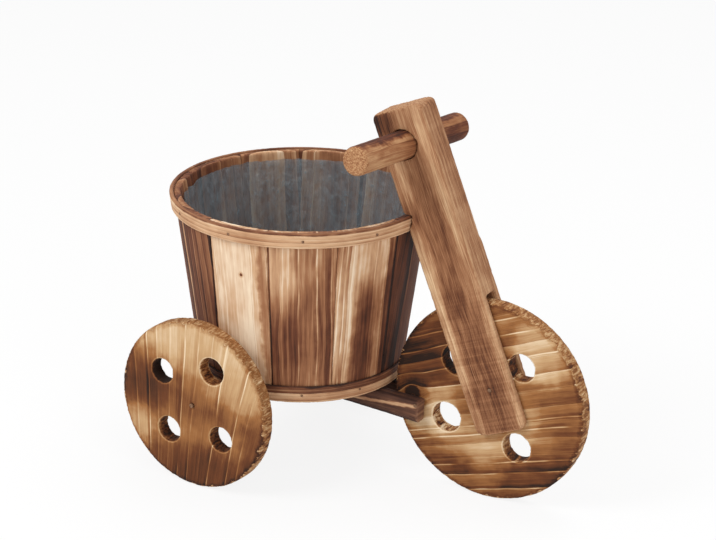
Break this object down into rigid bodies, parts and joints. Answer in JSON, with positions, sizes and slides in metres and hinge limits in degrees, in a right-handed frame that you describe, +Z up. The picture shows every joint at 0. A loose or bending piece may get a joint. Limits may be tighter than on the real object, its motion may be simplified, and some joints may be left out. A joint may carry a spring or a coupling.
{
  "type": "tricycle plant stand",
  "caption": "Wooden tricycle plant stand: a staved tub on rails between two turning rear wheels and a fixed front wheel in a slotted fork post with a handlebar.",
  "frame": {"origin": "on the ground, under the middle of the stand's bounding box", "axes": "+X forward to the front wheel, +Y to the left, +Z up"},
  "size_m": [0.3515, 0.222, 0.3064],
  "materials": {
    "wheel_wood": "flame-scorched flat-sawn softwood, rough sawn rim",
    "post_wood": "flame-scorched softwood, brushed grain",
    "handlebar_wood": "flame-scorched round bar, rough end grain",
    "chassis_wood": "dark scorched softwood batten",
    "stave_wood": "flame-scorched staves, vertical grain",
    "hoop_wood": "bent strip, lightly scorched, grain along the strip",
    "floor_wood": "plain sawn softwood",
    "nail_steel": "dull wire nails and brads",
    "liner_film": "thin translucent plastic film, crinkled and shiny"
  },
  "bodies": {
    "stand": {"front_wheel": "wheel_wood", "fork_post": "post_wood", "handlebar": "handlebar_wood", "chassis_rail_right": "chassis_wood", "chassis_rail_left": "chassis_wood", "rear_axle": "chassis_wood", "stave_01": "stave_wood", "stave_02": "stave_wood", "stave_03": "stave_wood", "stave_04": "stave_wood", "stave_05": "stave_wood", "stave_06": "stave_wood", "stave_07": "stave_wood", "stave_08": "stave_wood", "stave_09": "stave_wood", "stave_10": "stave_wood", "stave_11": "stave_wood", "top_hoop": "hoop_wood", "bottom_hoop": "hoop_wood", "floor_board_front": "floor_wood", "floor_board_rear": "floor_wood", "fork_nail": "nail_steel", "handlebar_nail": "nail_steel", "rail_nails": "nail_steel", "axle_nails": "nail_steel", "tub_nails": "nail_steel", "top_hoop_brads": "nail_steel", "floor_brads": "nail_steel", "wheel_nail_right": "nail_steel", "wheel_nail_left": "nail_steel", "liner": "liner_film"},
    "wheel_right": {"rear_wheel_right": "wheel_wood"},
    "wheel_left": {"rear_wheel_left": "wheel_wood"}
  },
  "joints": [
    {"name": "wheel_right_spin", "type": "hinge", "parent": "stand", "child": "wheel_right", "pos_m": [-0.10577, -0.107, 0.0675], "axis": [0.0593, 0.9982, 0], "continuous": true},
    {"name": "wheel_left_spin", "type": "hinge", "parent": "stand", "child": "wheel_left", "pos_m": [-0.10577, 0.107, 0.0675], "axis": [-0.0593, 0.9982, 0], "continuous": true}
  ]
}
